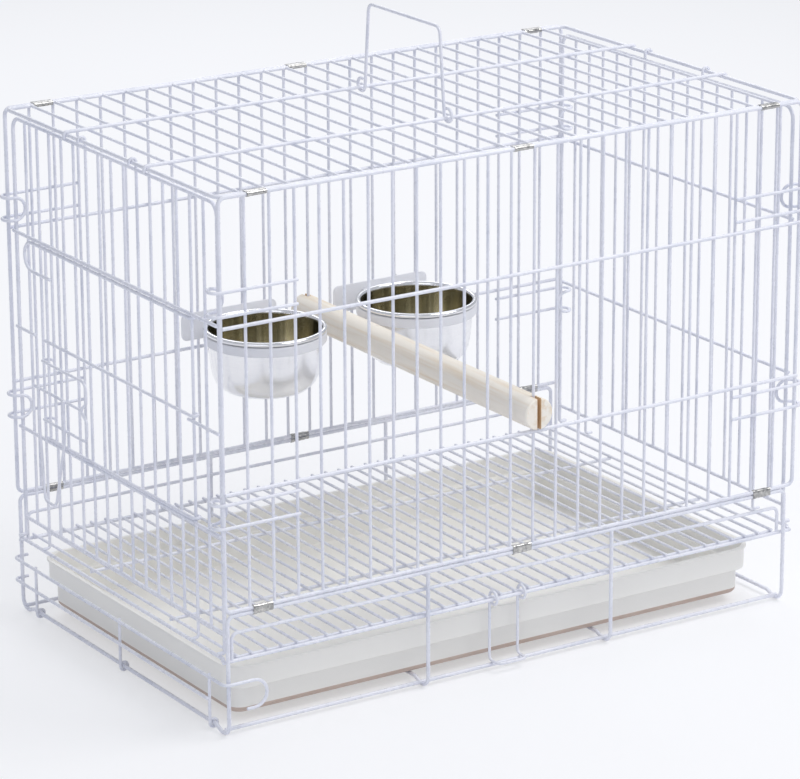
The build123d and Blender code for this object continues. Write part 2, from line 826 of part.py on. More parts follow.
pieces = {
    "front_panel": front_panel.part,
    "back_panel": back_panel.part,
    "top_panel": top_panel.part,
    "handle": handle.part,
    "base_frame": base_frame.part,
    "floor_grille": floor_grille.part,
    "grille_latch": grille_latch.part,
    "base_gate": base_gate.part,
    "tray": tray.part,
    "left_end_panel": left_end_panel.part,
    "right_end_panel": right_end_panel.part,
    "left_door": left_door.part,
    "door_latch": door_latch.part,
    "perch": perch.part,
    "clips_base_front": clips_base_front.part,
    "clips_base_back": clips_base_back.part,
    "clips_top_front": clips_top_front.part,
    "clips_top_back": clips_top_back.part,
}
pieces.update(cup_parts)
for name, piece in pieces.items():
    piece.label = name
    export_step(piece, "parts/" + name + ".step")
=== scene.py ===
from math import cos, degrees, pi, radians, sin, tan

import bmesh
import bpy
from mathutils import Matrix, Vector


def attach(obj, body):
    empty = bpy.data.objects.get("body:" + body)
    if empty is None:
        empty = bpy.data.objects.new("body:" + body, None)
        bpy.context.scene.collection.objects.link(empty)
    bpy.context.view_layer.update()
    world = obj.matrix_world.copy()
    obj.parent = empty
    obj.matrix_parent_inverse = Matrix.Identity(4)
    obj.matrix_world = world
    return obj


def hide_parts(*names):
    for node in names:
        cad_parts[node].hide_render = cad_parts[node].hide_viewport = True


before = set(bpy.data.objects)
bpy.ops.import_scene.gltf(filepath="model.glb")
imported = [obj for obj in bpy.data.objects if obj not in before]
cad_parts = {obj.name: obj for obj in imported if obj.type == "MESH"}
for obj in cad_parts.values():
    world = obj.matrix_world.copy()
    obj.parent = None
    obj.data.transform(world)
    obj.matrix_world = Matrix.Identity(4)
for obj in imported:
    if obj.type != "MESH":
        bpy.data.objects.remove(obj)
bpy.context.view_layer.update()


# Base frame. Two bent frame wires make the top rails, the end posts and the floor runs, with two
# U wires on each long side between them. Floor rails, ledge rails, staples and end rails are
# resistance welded across them, and the whole is powder coated white.
mm = 0.001


class Value:
    """A number in a shader. Arithmetic on it adds the Math nodes."""

    def __init__(self, finish, socket):
        self.finish = finish
        self.socket = socket

    def math(self, operation, first, second=0.0):
        node = self.finish.node("Math", {"operation": operation}, {0: first, 1: second})
        return Value(self.finish, node.outputs[0])

    def __add__(self, other):
        return self.math("ADD", self, other)

    def __sub__(self, other):
        return self.math("SUBTRACT", self, other)

    def __rsub__(self, other):
        return self.math("SUBTRACT", other, self)

    def __mul__(self, other):
        return self.math("MULTIPLY", self, other)

    def __truediv__(self, other):
        return self.math("DIVIDE", self, other)

    def __pow__(self, other):
        return self.math("POWER", self, other)

    def above(self, level, width):
        """0 below the level and 1 above it, with a soft step of the width."""
        return self.math("MINIMUM", self.math("MAXIMUM", (self - level) / width + 0.5, 0.0), 1.0)

    __radd__ = __add__
    __rmul__ = __mul__


class Finish:
    """One material: its shader, and the nodes that vary it over the piece."""

    def __init__(self, name, **uniform):
        self.material = bpy.data.materials.new(name)
        self.material.use_nodes = True
        self.tree = self.material.node_tree
        self.shader = self.tree.nodes["Principled BSDF"]
        for socket, value in uniform.items():
            self.shader.inputs[socket.replace("_", " ")].default_value = value
        self.place = self.node("TexCoord").outputs["Object"]

    def node(self, kind, settings=None, inputs=None):
        """Any node: its type, the settings made first, and the values or links of its sockets."""
        node = self.tree.nodes.new("ShaderNode" + kind)
        for setting, value in (settings or {}).items():
            setattr(node, setting, value)
        for socket, value in (inputs or {}).items():
            if isinstance(value, Value):
                value = value.socket
            if isinstance(value, bpy.types.NodeSocket):
                self.tree.links.new(value, node.inputs[socket])
            else:
                node.inputs[socket].default_value = value
        return node

    def noise(self, scale, detail=2.0, stretch=(1, 1, 1)):
        """A cloudy pattern from 0 to 1, of scale features to the metre."""
        spread = self.node("Mapping", inputs={"Vector": self.place, "Scale": stretch})
        settings = {"Vector": spread.outputs[0], "Scale": scale, "Detail": detail}
        pattern = self.node("TexNoise", inputs=settings)
        return Value(self, pattern.outputs[0])

    def axis(self, name):
        """Where a point lies along X, Y or Z, in metres."""
        split = self.node("SeparateXYZ", inputs={0: self.place})
        return Value(self, split.outputs[name])

    def math_of(self, operation, first, second):
        """A Math node that no operator stands for."""
        return Value(self, self.node("Math", {"operation": operation}, {0: first, 1: second}).outputs[0])

    def blend(self, share, first, second):
        """A colour between two, by share."""
        mix = self.node("Mix", {"data_type": "RGBA"}, {0: share, 6: first, 7: second})
        return mix.outputs[2]

    def vary(self, socket, source):
        """Feed one of the shader's sockets."""
        source = source.socket if isinstance(source, Value) else source
        self.tree.links.new(source, self.shader.inputs[socket])

    def relief(self, height, depth):
        """Raise the surface by a pattern, depth metres from its low to its high."""
        bump = self.node("Bump", inputs={"Height": height, "Strength": 1.0, "Distance": depth})
        self.vary("Normal", bump.outputs[0])


def colour(red, green, blue):
    """A solid colour, in linear light."""
    return (red, green, blue, 1.0)


powder_coat = Finish("white_powder_coat", Roughness=0.38)
thin_coat = powder_coat.noise(35.0, detail=3.0).above(0.60, 0.25)
coat_colour = powder_coat.blend(thin_coat, colour(0.82, 0.83, 0.90), colour(0.70, 0.72, 0.81))
powder_coat.vary("Base Color", coat_colour)
powder_coat.vary("Roughness", powder_coat.noise(220.0) * 0.16 + 0.20)
powder_coat.relief(powder_coat.noise(1400.0, detail=1.0), 0.00006)


class Wire:
    """One wire, fed out of a ring of vertices along straight runs and round bends.

    Sizes are in mm. The tip is the share of the radius left at a cut end, and the bend step is
    the most degrees between two rings of a bend.
    """

    sides = 12
    tip = 0.75
    bend_step = 18

    def __init__(self, mesh, thickness, start, towards):
        self.mesh = mesh
        self.radius = thickness / 2
        self.place = Vector(start)
        self.heading = (Vector(towards) - self.place).normalized()
        turn = self.heading.to_track_quat("Z", "Y").to_matrix().to_4x4()
        ring = bmesh.ops.create_circle(
            mesh, cap_ends=True, segments=self.sides, radius=self.radius * self.tip,
            matrix=Matrix.Translation(self.place) @ turn,
        )
        self.ring = ring["verts"]
        self.chamfer(1 / self.tip)

    def edges(self):
        """The edges of the last ring."""
        corners = set(self.ring)
        return list({e for v in self.ring for e in v.link_edges if e.other_vert(v) in corners})

    def chamfer(self, scale):
        """The rounded edge of a cut end."""
        self.push(self.radius * (1 - self.tip))
        bmesh.ops.scale(
            self.mesh, vec=(scale, scale, scale), verts=self.ring,
            space=Matrix.Translation(-self.place),
        )

    def push(self, reach):
        """A straight run."""
        out = bmesh.ops.extrude_edge_only(self.mesh, edges=self.edges())
        self.ring = [g for g in out["geom"] if isinstance(g, bmesh.types.BMVert)]
        bmesh.ops.translate(self.mesh, vec=self.heading * reach, verts=self.ring)
        self.place = self.place + self.heading * reach
        return self

    def turn(self, angle, radius, axis):
        """A bend by an angle in degrees about an axis, right-handed."""
        axis = Vector(axis).normalized()
        centre = self.place + axis.cross(self.heading) * radius
        steps = max(2, round(angle / self.bend_step))
        out = bmesh.ops.spin(
            self.mesh, geom=self.ring + self.edges(), cent=centre, axis=axis,
            angle=radians(angle), steps=steps, use_duplicate=False,
        )
        self.ring = [g for g in out["geom_last"] if isinstance(g, bmesh.types.BMVert)]
        swing = Matrix.Rotation(radians(angle), 3, axis)
        self.place = centre + swing @ (self.place - centre)
        self.heading = swing @ self.heading
        return self

    def follow(self, points, bends=()):
        """Straight runs through the points, with a bend at each but the last."""
        points = [Vector(p) for p in points]
        for corner, after, bend in zip(points, points[1:], bends):
            onward = (after - corner).normalized()
            angle = self.heading.angle(onward)
            trim = bend * tan(angle / 2)
            self.push((corner - self.place).dot(self.heading) - trim)
            self.turn(degrees(angle), bend, self.heading.cross(onward))
        self.push((points[-1] - self.place).dot(self.heading))
        return self

    def cut(self):
        """Close the far end."""
        back = self.heading * self.radius * (self.tip - 1)
        bmesh.ops.translate(self.mesh, vec=back, verts=self.ring)
        self.place = self.place + back
        self.chamfer(self.tip)
        bmesh.ops.contextual_create(self.mesh, geom=self.edges())


def rod(mesh, thickness, start, end):
    """A straight wire."""
    Wire(mesh, thickness, start, end).follow([end]).cut()


def bent(mesh, thickness, points, bends):
    """A wire through the points, bent at each inner one."""
    Wire(mesh, thickness, points[0], points[1]).follow(points[1:], bends).cut()


def curl_tip(mesh, thickness, tip, forward):
    """A wire that starts at a tip, ready to be turned into a curl at once."""
    return Wire(mesh, thickness, tip - forward * thickness / 2 * (1 - Wire.tip), tip)


def weld(mesh, size, *places):
    """The beads of melted steel and coat where wires cross."""
    for place in places:
        bmesh.ops.create_icosphere(mesh, subdivisions=1, radius=size, matrix=Matrix.Translation(place))


sharp_edge = radians(40)


def finished(mesh, name, finish, slot, body, *nodes):
    """Turn a mesh in mm into a piece in metres, in place of its CAD nodes."""
    bmesh.ops.scale(mesh, vec=(mm, mm, mm), verts=mesh.verts)
    bmesh.ops.recalc_face_normals(mesh, faces=mesh.faces)
    data = bpy.data.meshes.new(name)
    mesh.to_mesh(data)
    mesh.free()
    data.shade_smooth()
    data.set_sharp_from_angle(angle=sharp_edge)
    data.materials.append(finish.material)
    piece = bpy.data.objects.new(name, data)
    bpy.context.scene.collection.objects.link(piece)
    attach(piece, body)
    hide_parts(*nodes)
    return piece


frame_wire = 3.0
ledge_wire = 2.8
staple_wire = 2.6
post_left_x = -251.0
post_right_x = 245.0
mid_post_x = 82.0
panel_y = 156.1
base_rail_z = 91.5
run_z = 4.5
floor_rail_y = 150.1
floor_rail_z = 4.1
ledge_y = 153.6
ledge_z = 56.7
staple_z = 77.5
staple_inset = 4.5
end_rail_x = 252.5
end_rail_z = 59.1
end_rail_y = 151.85
foot_run = 10
foot_slope = 8
foot_bend = 8
step_bend = 2.5
corner_bend = 5
ledge_reach = 254
bead = 1.8
floor_bead = (151.0, 2.8)
ledge_bead_y = 154.9
staple_bead_y = 155.0
end_bead = (151.6, 57.9)


def runner(x, side):
    """The points of a floor wire, from the foot of its post to the middle of the cage."""
    return [
        (x, side * panel_y, frame_wire / 2),
        (x, side * (panel_y - foot_run), frame_wire / 2),
        (x, side * (panel_y - foot_run - foot_slope), run_z),
        (x, 0, run_z),
    ]


base = bmesh.new()
for side in (-1, 1):
    left_run = runner(post_left_x, side)[::-1]
    rail = [(post_left_x, side * panel_y, base_rail_z), (post_right_x, side * panel_y, base_rail_z)]
    foot_bends = [step_bend, step_bend, foot_bend]
    bent(
        base, frame_wire,
        left_run + rail + runner(post_right_x, side),
        foot_bends + [corner_bend, corner_bend] + foot_bends[::-1],
    )
    for x in (-mid_post_x, mid_post_x):
        bent(base, frame_wire, [(x, side * panel_y, base_rail_z)] + runner(x, side), foot_bends[::-1])
        weld(base, bead, (x, side * staple_bead_y, staple_z))
    for x in (post_left_x, -mid_post_x, mid_post_x, post_right_x):
        weld(base, bead, (x, side * ledge_bead_y, ledge_z), (x, side * floor_bead[0], floor_bead[1]))
    for x in (-end_rail_x, end_rail_x):
        weld(base, bead, (x, side * end_bead[0], end_bead[1]))
    floor_y = side * floor_rail_y
    rod(base, frame_wire, (post_left_x, floor_y, floor_rail_z), (post_right_x, floor_y, floor_rail_z))
    y = side * ledge_y
    rod(base, ledge_wire, (-ledge_reach, y, ledge_z), (ledge_reach, y, ledge_z))
    bent(
        base, staple_wire,
        [
            (post_left_x + staple_inset, y, ledge_z),
            (post_left_x + staple_inset, y, staple_z),
            (post_right_x - staple_inset, y, staple_z),
            (post_right_x - staple_inset, y, ledge_z),
        ],
        [corner_bend, corner_bend],
    )
for x in (-end_rail_x, end_rail_x):
    rod(base, ledge_wire, (x, -end_rail_y, end_rail_z), (x, end_rail_y, end_rail_z))
finished(base, "base_frame_wires", powder_coat, "white_wire", "cage", "base_frame")


# Front and back panels. A bent frame with upright bars butted into it, long rails welded across
# the outside, and at each post two wires that turn back inside it to make a hook for the end panel.
bar_wire = 2.3
hook_wire = 2.5
edge_x = 252.5
bar_pitch = 20.2
front_bays = 25
bars = [bar_pitch * k - edge_x for k in range(1, front_bays)]
panel_low_z = 94.85
top_z = 396.45
rail_y = 158.6
hook_y = 158.45
upper_rail_z = 304.0
lower_rail_z = 183.0
hook_bays = 3
hook_run_x = edge_x - hook_bays * bar_pitch - bar_wire / 2
hook_turn = 6.7
upper_hook = (312.6, 330.0)
lower_hook = (175.65, 158.25)
bar_bead = 1.35
bead_inset = 1.1
rail_bead_y = 157.3
hook_bead = 1.3
hook_bead_y = 157.35


def corner_hook(mesh, side, face, z_in, z_out):
    """One hook wire: out along the panel, round the post, a C inside it, and back."""
    up = 1 if z_out > z_in else -1
    y = face * hook_y
    wire = Wire(mesh, hook_wire, (side * hook_run_x, y, z_in), (side * edge_x, y, z_in))
    wire.follow([(side * edge_x, y, z_in)])
    wire.turn(180, hook_turn, (0, 0, -side * face))
    wire.turn(180, abs(z_out - z_in) / 2, (0, side * up, 0))
    wire.turn(180, hook_turn, (0, 0, side * face))
    wire.follow([(side * hook_run_x, y, z_out)]).cut()
    for bar in range(hook_bays + 1):
        x = side * (edge_x - bar * bar_pitch)
        weld(mesh, hook_bead, (x, face * hook_bead_y, z_in), (x, face * hook_bead_y, z_out))


for name, face in (("front_panel", -1), ("back_panel", 1)):
    panel = bmesh.new()
    y = face * panel_y
    bent(
        panel, frame_wire,
        [(0, y, panel_low_z), (edge_x, y, panel_low_z), (edge_x, y, top_z), (-edge_x, y, top_z),
         (-edge_x, y, panel_low_z), (0, y, panel_low_z)],
        [corner_bend] * 4,
    )
    for x in bars:
        rod(panel, bar_wire, (x, y, panel_low_z), (x, y, top_z))
        weld(panel, bar_bead, (x, y, panel_low_z + bead_inset), (x, y, top_z - bead_inset))
    for z in (upper_rail_z, lower_rail_z):
        rod(panel, ledge_wire, (-edge_x, face * rail_y, z), (edge_x, face * rail_y, z))
        weld(panel, bar_bead, *[(x, face * rail_bead_y, z) for x in bars])
    for side in (-1, 1):
        corner_hook(panel, side, face, *upper_hook)
        corner_hook(panel, side, face, *lower_hook)
    finished(panel, name + "_wires", powder_coat, "white_wire", "cage", name)


# Top panel. A bent frame with cross bars, and two carry wires welded over the bars, whose ends
# turn down over the frame. The carry wires take the weight of the cage from the handle.
top_side_y = 152.75
carry_y = 59.0
carry_z = 398.6
carry_end_x = 255.0
carry_drop = 2.5
carry_bend = 2
carry_bead_z = 397.5
top = bmesh.new()
bent(
    top, frame_wire,
    [(0, -top_side_y, top_z), (edge_x, -top_side_y, top_z), (edge_x, top_side_y, top_z),
     (-edge_x, top_side_y, top_z), (-edge_x, -top_side_y, top_z), (0, -top_side_y, top_z)],
    [corner_bend] * 4,
)
for x in bars:
    rod(top, bar_wire, (x, -top_side_y, top_z), (x, top_side_y, top_z))
    weld(top, bar_bead, (x, -top_side_y + bead_inset, top_z), (x, top_side_y - bead_inset, top_z))
for y in (-carry_y, carry_y):
    bent(
        top, ledge_wire,
        [(-carry_end_x, y, top_z - carry_drop), (-carry_end_x, y, carry_z), (carry_end_x, y, carry_z),
         (carry_end_x, y, top_z - carry_drop)],
        [carry_bend, carry_bend],
    )
    weld(top, bar_bead, *[(x, y, carry_bead_z) for x in bars])
finished(top, "top_panel_wires", powder_coat, "white_wire", "cage", "top_panel")


# End panels. Each is a frame bent like a staple, hung from the top panel by two curls, with bars,
# level rails and four feet that bend out over the base rail. The left one has the doorway.
side_x = 249.5
side_cross_x = 251.65
side_edge_y = 149.4
side_top_z = 390.95
side_low_z = 76.5
side_pitch = 18.675
side_foot_x = 256.0
jamb_y = 112.05
sill_z = 150.0
side_bays = 16
side_bend = 9
side_foot_z = 62.5
bar_foot_z = 62.15
toe_bend = 2.2
hang_bar = 2
hang_curl = 3.0
hang_turn = 200
foot_bead_inset = 0.9
rail_bead_x = 250.5
doorway_lap = 0.7
rail_lap = 0.75
stub_front_y = -107.5
stub_front_z = 225.5
stub_back_y = 121
stub_back_z = 229.3
side_bars = [side_pitch * k - side_edge_y for k in range(1, side_bays)]
doorway_y = jamb_y - side_pitch / 2
outer_bars = [y for y in side_bars if abs(y) > doorway_y]
inner_bars = [y for y in side_bars if abs(y) < doorway_y]


def end_frame(mesh, side):
    """What both end panels share: frame, foot rail, feet and hanging curls."""
    x = side * side_x
    foot = side * side_foot_x
    bent(
        mesh, frame_wire,
        [(foot, -side_edge_y, side_foot_z), (x, -side_edge_y, side_foot_z),
         (x, -side_edge_y, side_top_z), (x, side_edge_y, side_top_z),
         (x, side_edge_y, side_foot_z), (foot, side_edge_y, side_foot_z)],
        [toe_bend, side_bend, side_bend, toe_bend],
    )
    rod(mesh, ledge_wire, (x, -side_edge_y, side_low_z), (x, side_edge_y, side_low_z))
    for y in (-jamb_y, jamb_y):
        bent(mesh, bar_wire, [(foot, y, bar_foot_z), (x, y, bar_foot_z), (x, y, side_low_z)], [toe_bend])
    for y in (-hang_bar * side_pitch, hang_bar * side_pitch):
        curl = Wire(mesh, bar_wire, (x, y, side_top_z), (x, y, top_z))
        curl.follow([(x, y, top_z)]).turn(hang_turn, hang_curl, (0, side, 0)).cut()
    for y in side_bars:
        weld(mesh, bar_bead, (x, y, side_low_z + foot_bead_inset), (x, y, side_top_z - bead_inset))


for name, side in (("left_end_panel", -1), ("right_end_panel", 1)):
    end = bmesh.new()
    end_frame(end, side)
    x = side * side_x
    cross = side * side_cross_x
    reach = side_edge_y + rail_lap
    if side < 0:
        spans = [(y, side_low_z, side_top_z) for y in outer_bars]
        spans += [(y, side_low_z, sill_z + doorway_lap) for y in inner_bars]
        spans += [(y, upper_rail_z - doorway_lap, side_top_z) for y in inner_bars]
        levels = (upper_rail_z, sill_z)
        rod(end, hook_wire, (cross, -reach, stub_front_z), (cross, stub_front_y, stub_front_z))
        rod(end, hook_wire, (cross, stub_back_y, stub_back_z), (cross, reach, stub_back_z))
    else:
        spans = [(y, side_low_z, side_top_z) for y in side_bars]
        levels = (upper_rail_z, lower_rail_z)
    for y, low, high in spans:
        rod(end, bar_wire, (x, y, low), (x, y, high))
    for z in levels:
        rod(end, ledge_wire, (cross, -reach, z), (cross, reach, z))
        crossings = side_bars + [-side_edge_y, side_edge_y]
        weld(end, hook_bead, *[(side * rail_bead_x, y, z) for y in crossings])
    body = "left_end" if side < 0 else "right_end"
    finished(end, name + "_wires", powder_coat, "white_wire", body, name)


# Door. Three rails curled round the front jamb as its hinge, upright bars, and a stop loop at the
# top that lands on the outside of the panel, all from the same coated wire.
door_bar_x = 250.35
door_rail_x = 252.35
door_curl = 2.85
door_edge_y = 102.7
door_rails = (153.1, 229.3, 300.9)
door_curl_turn = 220
door_lap = 0.6
door_bead_x = 251.3
stop_y = 121
stop_r = 11
stop_end_y = 93
door = bmesh.new()
for z in door_rails:
    angle = radians(180 + door_curl_turn)
    start = Vector((-side_x + door_curl * cos(angle), -jamb_y + door_curl * sin(angle), z))
    hinge = curl_tip(door, hook_wire, start, Vector((sin(angle), -cos(angle), 0)))
    hinge.turn(door_curl_turn, door_curl, (0, 0, -1))
    if z == door_rails[-1]:
        hinge.follow([(-door_rail_x, stop_y, z)]).turn(180, stop_r, (-1, 0, 0))
        hinge.follow([(-door_rail_x, stop_end_y, z - 2 * stop_r)])
    else:
        hinge.follow([(-door_rail_x, door_edge_y + bar_wire / 2, z)])
    hinge.cut()
for y in inner_bars + [door_edge_y]:
    foot = (-door_bar_x, y, door_rails[0] - door_lap)
    rod(door, bar_wire, foot, (-door_bar_x, y, door_rails[-1] + door_lap))
    weld(door, hook_bead, *[(-door_bead_x, y, z) for z in door_rails])
finished(door, "left_door_wires", powder_coat, "white_wire", "door", "left_door")


# Door latch. A bent wire that slides up the door's edge bar on two clasps, with a bolt wire
# across it and a slanted finger pull welded to its outside.
latch_wire = 2.2
latch_x = 255.05
latch_high_z = 214
latch_low_z = 168
latch_front_y = 37
clasp_x = 247.75
clasp_y = 105.3
clasp_tip = 5.6
clasp_bend = 2
latch_bend = 6
notch_y = 46
notch_half = 7
notch_bend = 2.4
bolt_z = 191.0
bolt_end_y = 118
pull_x = 256.85
pull_out = 5
pull_back_y = 108
pull_front_y = 69
pull_low_back_y = 93
pull_low_front_y = 76
pull_shoulder_z = 160
pull_low_z = 108
latch_bead = 1.25
pull_bead_x = 256
latch = bmesh.new()
bent(
    latch, latch_wire,
    [
        (-clasp_x, clasp_y - clasp_tip, latch_high_z),
        (-clasp_x, clasp_y, latch_high_z),
        (-latch_x, clasp_y, latch_high_z),
        (-latch_x, latch_front_y, latch_high_z),
        (-latch_x, latch_front_y, bolt_z + notch_half),
        (-latch_x, notch_y, bolt_z),
        (-latch_x, latch_front_y, bolt_z - notch_half),
        (-latch_x, latch_front_y, latch_low_z),
        (-latch_x, clasp_y, latch_low_z),
        (-clasp_x, clasp_y, latch_low_z),
        (-clasp_x, clasp_y - clasp_tip, latch_low_z),
    ],
    [clasp_bend] * 2 + [latch_bend] + [notch_bend] * 3 + [latch_bend] + [clasp_bend] * 2,
)
rod(latch, latch_wire, (-latch_x, notch_y, bolt_z), (-latch_x, bolt_end_y, bolt_z))
pull_end_z = bolt_z + latch_wire / 2
bent(
    latch, latch_wire,
    [
        (-pull_x, pull_back_y, pull_end_z),
        (-pull_x, pull_back_y, pull_shoulder_z),
        (-pull_x - pull_out, pull_low_back_y, pull_low_z),
        (-pull_x - pull_out, pull_low_front_y, pull_low_z),
        (-pull_x, pull_front_y, pull_shoulder_z),
        (-pull_x, pull_front_y, pull_end_z),
    ],
    [latch_bend] * 4,
)
weld(
    latch, latch_bead,
    (-pull_bead_x, pull_back_y, bolt_z), (-pull_bead_x, pull_front_y, bolt_z),
    (-pull_bead_x, pull_front_y, latch_low_z), (-latch_x, notch_y, bolt_z),
)
finished(latch, "door_latch_wire", powder_coat, "white_wire", "latch", "door_latch")


# Floor grille. Close wires across the cage on four cross wires, resting between the ledge rails
# so that droppings fall through to the tray.
grille_wire = 2.2
cross_wire = 2.6
grille_left_x = -242.0
grille_right_x = 236.0
grille_z = 59.55
cross_z = 57.55
grille_bead_z = 58.5
grille_bays = 38
grille_pitch = (grille_right_x - grille_left_x) / grille_bays
cross_outer_y = 150.55
cross_inner_y = 60
grille = bmesh.new()
grille_lines = [grille_left_x + grille_pitch * k for k in range(grille_bays + 1)]
for x in grille_lines:
    rod(grille, grille_wire, (x, -ledge_y, grille_z), (x, ledge_y, grille_z))
cross_left_x = grille_left_x - cross_wire / 2
cross_right_x = grille_right_x + cross_wire / 2
for y in (-cross_outer_y, -cross_inner_y, cross_inner_y, cross_outer_y):
    rod(grille, cross_wire, (cross_left_x, y, cross_z), (cross_right_x, y, cross_z))
    weld(grille, latch_bead, *[(x, y, grille_bead_z) for x in grille_lines])
finished(grille, "floor_grille_wires", powder_coat, "white_wire", "cage", "floor_grille")


# Grille latch. One wire with an eye at each end round the front ledge, and a foot that reaches
# out over the floor rail. It keeps the grille down.
eye_y = -152.075
eye_z = 57.125
eye_r = 5
eye_turn = 300
latch_foot_z = 7.05
latch_leg_y = eye_y + eye_r
latch_foot_y = -159.7
foot_corner = 4
latch_left_x = grille_left_x + grille_pitch * 17.5
latch_right_x = latch_left_x + grille_pitch * 2
floor_latch = bmesh.new()
turned = radians(eye_turn)
tip = Vector((latch_left_x, eye_y + eye_r * cos(turned), eye_z + eye_r * sin(turned)))
wire = curl_tip(floor_latch, latch_wire, tip, Vector((0, sin(turned), -cos(turned))))
wire.turn(eye_turn, eye_r, (-1, 0, 0))
wire.follow(
    [(latch_left_x, latch_leg_y, latch_foot_z), (latch_left_x, latch_foot_y, latch_foot_z),
     (latch_right_x, latch_foot_y, latch_foot_z), (latch_right_x, latch_leg_y, latch_foot_z),
     (latch_right_x, latch_leg_y, eye_z)],
    [foot_corner] * 4,
)
wire.turn(eye_turn, eye_r, (1, 0, 0)).cut()
finished(floor_latch, "grille_latch_wire", powder_coat, "white_wire", "floor_latch", "grille_latch")


# Base gate. Two rails on three uprights whose eyes turn on the left floor wire. The upper rail
# wraps both posts and ends in a C hook that springs over the front post.
gate_bar_x = -254.0
gate_rail_x = -256.0
gate_face_y = 159.7
gate_high_z = 41.5
gate_low_z = 24.0
gate_front_y = -134
gate_back_y = 128
gate_eye = 3.0
gate_eye_turn = 300
gate_bend = 5
gate_back_x = -244
gate_tip_x = -232
gate_hook_r = 10.5
gate_hook_tip = 6
gate_bead_x = -255
gate = bmesh.new()
for y in (gate_front_y, (gate_front_y + gate_back_y) / 2, gate_back_y):
    upright = Wire(gate, bar_wire, (gate_bar_x, y, gate_high_z + hook_wire / 2), (gate_bar_x, y, run_z))
    upright.follow([(gate_bar_x, y, run_z)]).turn(gate_eye_turn, gate_eye, (0, -1, 0)).cut()
    weld(gate, hook_bead, (gate_bead_x, y, gate_high_z), (gate_bead_x, y, gate_low_z))
back_end = (gate_back_x, gate_face_y, gate_high_z)
back_corner = (gate_rail_x, gate_face_y, gate_high_z)
front_corner = (gate_rail_x, -gate_face_y, gate_high_z)
upper = Wire(gate, hook_wire, back_end, back_corner)
upper.follow([back_corner, front_corner, (gate_tip_x, -gate_face_y, gate_high_z)], [gate_bend] * 2)
upper.turn(180, gate_hook_r, (0, 1, 0)).push(gate_hook_tip).cut()
bent(
    gate, hook_wire,
    [(gate_back_x, gate_face_y, gate_low_z), (gate_rail_x, gate_face_y, gate_low_z),
     (gate_rail_x, gate_front_y - bar_wire / 2, gate_low_z)],
    [gate_bend],
)
finished(gate, "base_gate_wires", powder_coat, "white_wire", "gate", "base_gate")


# Carry handle. One wire with an open ring at each foot, pulled up against the carry wires. The
# two rings turn on those wires, so that the handle folds down flat either way.
ring_z = 400.6
ring_r = 5
ring_turn = 290
handle_top_z = 464.6
handle_bend = 6
lean_angle = 5.2
lean = radians(lean_angle)
foot_y = carry_y - ring_r * cos(lean)
foot_z = ring_z - ring_r * sin(lean)
handle_half = foot_y - (handle_top_z - foot_z) * tan(lean)
handle = bmesh.new()
turned = radians(-lean_angle - ring_turn)
tip = Vector((0, -carry_y + ring_r * cos(turned), ring_z + ring_r * sin(turned)))
bail = curl_tip(handle, hook_wire, tip, Vector((0, -sin(turned), cos(turned))))
bail.turn(ring_turn, ring_r, (1, 0, 0))
bail.follow(
    [(0, -handle_half, handle_top_z), (0, handle_half, handle_top_z), (0, foot_y, foot_z)],
    [handle_bend] * 2,
)
bail.turn(ring_turn, ring_r, (1, 0, 0)).cut()
finished(handle, "handle_wire", powder_coat, "white_wire", "carry_handle", "handle")


# Hinge clips. Short bands of galvanised sheet, wrapped round two neighbouring rails and left
# with an open seam, so that the panels can fold on each other.
clip_long = 16.4
clip_wall = 0.7
clip_outer = 2.3
clip_places = (-222.2, 0.0, 222.2)
seam_half = 0.4

galvanised = Finish("galvanised_sheet", Metallic=1.0)
spangle = galvanised.noise(420.0, detail=4.0)
rub = galvanised.noise(160.0, detail=2.0, stretch=(0.3, 3.0, 3.0)).above(0.52, 0.2)
spangled = galvanised.blend(spangle.above(0.5, 0.4), colour(0.30, 0.30, 0.30), colour(0.66, 0.65, 0.63))
galvanised.vary("Base Color", spangled)
galvanised.vary("Roughness", rub * 0.25 + 0.22)
galvanised.relief(spangle, 0.00012)


